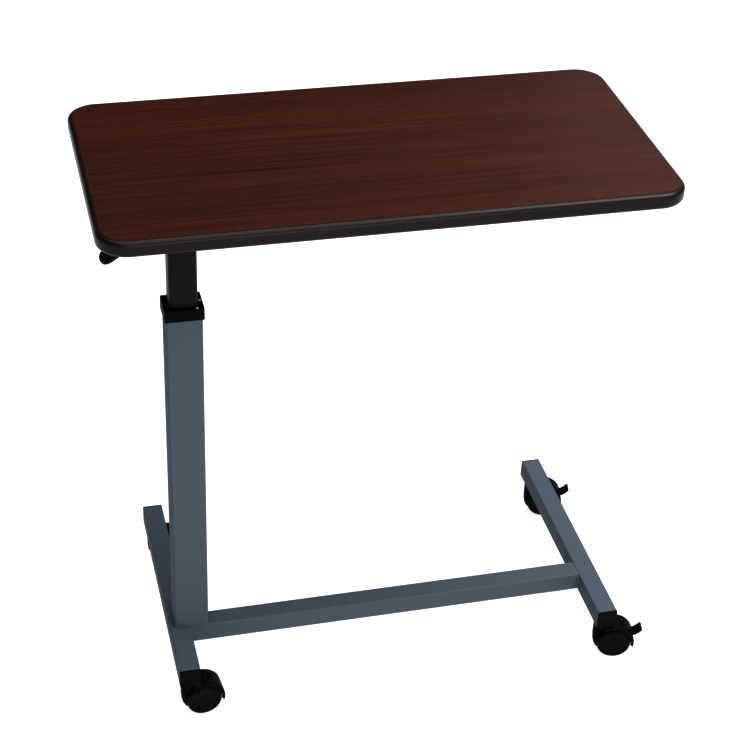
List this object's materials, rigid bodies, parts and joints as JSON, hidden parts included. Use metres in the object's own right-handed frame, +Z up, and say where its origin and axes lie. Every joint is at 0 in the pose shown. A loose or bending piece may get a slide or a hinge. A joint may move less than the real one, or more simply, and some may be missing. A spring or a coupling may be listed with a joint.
{
  "type": "overbed table",
  "caption": "Height-adjustable overbed table: laminate top on an off-centre telescopic mast over an H-shaped base with hooded twin-wheel casters.",
  "frame": {"origin": "on the floor, under the middle of the whole table", "axes": "+X from the mast towards the far rail along the tabletop's length, +Y from front to back, +Z up"},
  "size_m": [0.7891, 0.3924, 0.8],
  "materials": {
    "painted_steel": "fine silver-vein blue-grey powder coat",
    "column_paint": "satin black powder coat",
    "cylinder_paint": "gloss black",
    "zinc_steel": "zinc plated",
    "spring_steel": "drawn spring wire",
    "rod_chrome": "polished hard chrome",
    "black_plastic": "moulded black, slightly textured",
    "hood_plastic": "moulded black",
    "wheel_nylon": "moulded black nylon",
    "guide_nylon": "natural nylon",
    "particle_board": "raw particle board",
    "wood_laminate": "dark red-brown mahogany print, satin",
    "backing_sheet": "plain brown balancing sheet",
    "edge_moulding": "very dark brown soft-gloss edging"
  },
  "bodies": {
    "base": {"left_base_rail": "painted_steel", "right_base_rail": "painted_steel", "cross_rail": "painted_steel", "rail_end_caps": "black_plastic", "weld_beads": "painted_steel", "caster_stems": "zinc_steel", "caster_nuts": "zinc_steel", "mast_tube": "painted_steel", "mast_foot_plate": "painted_steel", "mast_bolts": "zinc_steel", "mast_bolt_washers": "zinc_steel", "mast_collar": "black_plastic", "collar_screws": "zinc_steel", "gas_spring_cylinder": "cylinder_paint", "gas_spring_rod_guide": "guide_nylon"},
    "lift": {"gas_spring_rod": "rod_chrome", "gas_spring_piston": "zinc_steel", "rod_lock_nuts": "zinc_steel", "inner_column": "column_paint", "column_guide_bush": "guide_nylon", "support_beam": "column_paint", "left_cross_bar": "column_paint", "right_cross_bar": "column_paint", "tabletop_board": "particle_board", "top_laminate": "wood_laminate", "backing_laminate": "backing_sheet", "edge_moulding": "edge_moulding", "tabletop_screws": "zinc_steel", "lever_pivot_pin": "zinc_steel", "pivot_clips": "zinc_steel"},
    "release_lever": {"release_lever_arm": "column_paint", "release_lever_grip": "black_plastic", "lever_return_spring": "spring_steel"},
    "release_pin": {"gas_spring_release_pin": "rod_chrome"},
    "front_left_swivel": {"front_left_caster_body": "hood_plastic", "front_left_caster_axle": "zinc_steel"},
    "front_left_near_wheel": {"front_left_near_wheel": "wheel_nylon"},
    "front_left_far_wheel": {"front_left_far_wheel": "wheel_nylon"},
    "front_right_swivel": {"front_right_caster_body": "hood_plastic", "front_right_caster_axle": "zinc_steel", "front_right_brake_pin": "zinc_steel"},
    "front_right_near_wheel": {"front_right_near_wheel": "wheel_nylon"},
    "front_right_far_wheel": {"front_right_far_wheel": "wheel_nylon"},
    "front_right_brake": {"front_right_brake_lever": "hood_plastic"},
    "back_right_swivel": {"back_right_caster_body": "hood_plastic", "back_right_caster_axle": "zinc_steel", "back_right_brake_pin": "zinc_steel"},
    "back_right_near_wheel": {"back_right_near_wheel": "wheel_nylon"},
    "back_right_far_wheel": {"back_right_far_wheel": "wheel_nylon"},
    "back_right_brake": {"back_right_brake_lever": "hood_plastic"},
    "back_left_swivel": {"back_left_caster_body": "hood_plastic", "back_left_caster_axle": "zinc_steel"},
    "back_left_near_wheel": {"back_left_near_wheel": "wheel_nylon"},
    "back_left_far_wheel": {"back_left_far_wheel": "wheel_nylon"}
  },
  "joints": [
    {"name": "column_lift", "type": "slide", "parent": "base", "child": "lift", "axis": [0, 0, 1], "range_m": [-0.089, 0.343]},
    {"name": "release_lever_hinge", "type": "hinge", "parent": "lift", "child": "release_lever", "pos_m": [-0.3093, -0.0822, 0.764], "axis": [0, 1, 0], "range_deg": [0, 10], "stiffness_Nm_per_rad": 0.6, "springref_deg": -28.65},
    {"name": "release_pin_push", "type": "slide", "parent": "lift", "child": "release_pin", "axis": [0, 0, -1], "range_m": [0, 0.0056]},
    {"name": "front_left_swivel", "type": "hinge", "parent": "base", "child": "front_left_swivel", "pos_m": [-0.2966, -0.1748, 0], "axis": [0, 0, 1], "continuous": true},
    {"name": "front_left_near_wheel_spin", "type": "hinge", "parent": "front_left_swivel", "child": "front_left_near_wheel", "pos_m": [-0.27721, -0.17276, 0.0254], "axis": [-0.1045, 0.9945, 0], "continuous": true},
    {"name": "front_left_far_wheel_spin", "type": "hinge", "parent": "front_left_swivel", "child": "front_left_far_wheel", "pos_m": [-0.27721, -0.17276, 0.0254], "axis": [-0.1045, 0.9945, 0], "continuous": true},
    {"name": "front_right_swivel", "type": "hinge", "parent": "base", "child": "front_right_swivel", "pos_m": [0.3329, -0.1748, 0], "axis": [0, 0, 1], "continuous": true},
    {"name": "front_right_near_wheel_spin", "type": "hinge", "parent": "front_right_swivel", "child": "front_right_near_wheel", "pos_m": [0.35197, -0.17885, 0.0254], "axis": [0.2079, 0.9781, 0], "continuous": true},
    {"name": "front_right_far_wheel_spin", "type": "hinge", "parent": "front_right_swivel", "child": "front_right_far_wheel", "pos_m": [0.35197, -0.17885, 0.0254], "axis": [0.2079, 0.9781, 0], "continuous": true},
    {"name": "front_right_brake_press", "type": "hinge", "parent": "front_right_swivel", "child": "front_right_brake", "pos_m": [0.36586, -0.18181, 0.05], "axis": [0.2079, 0.9781, 0], "range_deg": [0, 11]},
    {"name": "back_right_swivel", "type": "hinge", "parent": "base", "child": "back_right_swivel", "pos_m": [0.3329, 0.1712, 0], "axis": [0, 0, 1], "continuous": true},
    {"name": "back_right_near_wheel_spin", "type": "hinge", "parent": "back_right_swivel", "child": "back_right_near_wheel", "pos_m": [0.35197, 0.16715, 0.0254], "axis": [0.2079, 0.9781, 0], "continuous": true},
    {"name": "back_right_far_wheel_spin", "type": "hinge", "parent": "back_right_swivel", "child": "back_right_far_wheel", "pos_m": [0.35197, 0.16715, 0.0254], "axis": [0.2079, 0.9781, 0], "continuous": true},
    {"name": "back_right_brake_press", "type": "hinge", "parent": "back_right_swivel", "child": "back_right_brake", "pos_m": [0.36586, 0.16419, 0.05], "axis": [0.2079, 0.9781, 0], "range_deg": [0, 11]},
    {"name": "back_left_swivel", "type": "hinge", "parent": "base", "child": "back_left_swivel", "pos_m": [-0.2966, 0.1712, 0], "axis": [0, 0, 1], "continuous": true},
    {"name": "back_left_near_wheel_spin", "type": "hinge", "parent": "back_left_swivel", "child": "back_left_near_wheel", "pos_m": [-0.27756, 0.16698, 0.0254], "axis": [0.2164, 0.9763, 0], "continuous": true},
    {"name": "back_left_far_wheel_spin", "type": "hinge", "parent": "back_left_swivel", "child": "back_left_far_wheel", "pos_m": [-0.27756, 0.16698, 0.0254], "axis": [0.2164, 0.9763, 0], "continuous": true}
  ],
  "couplings": [
    {"joint": "release_pin_push", "follows": "release_lever_hinge", "m_per_rad": 0.03}
  ]
}
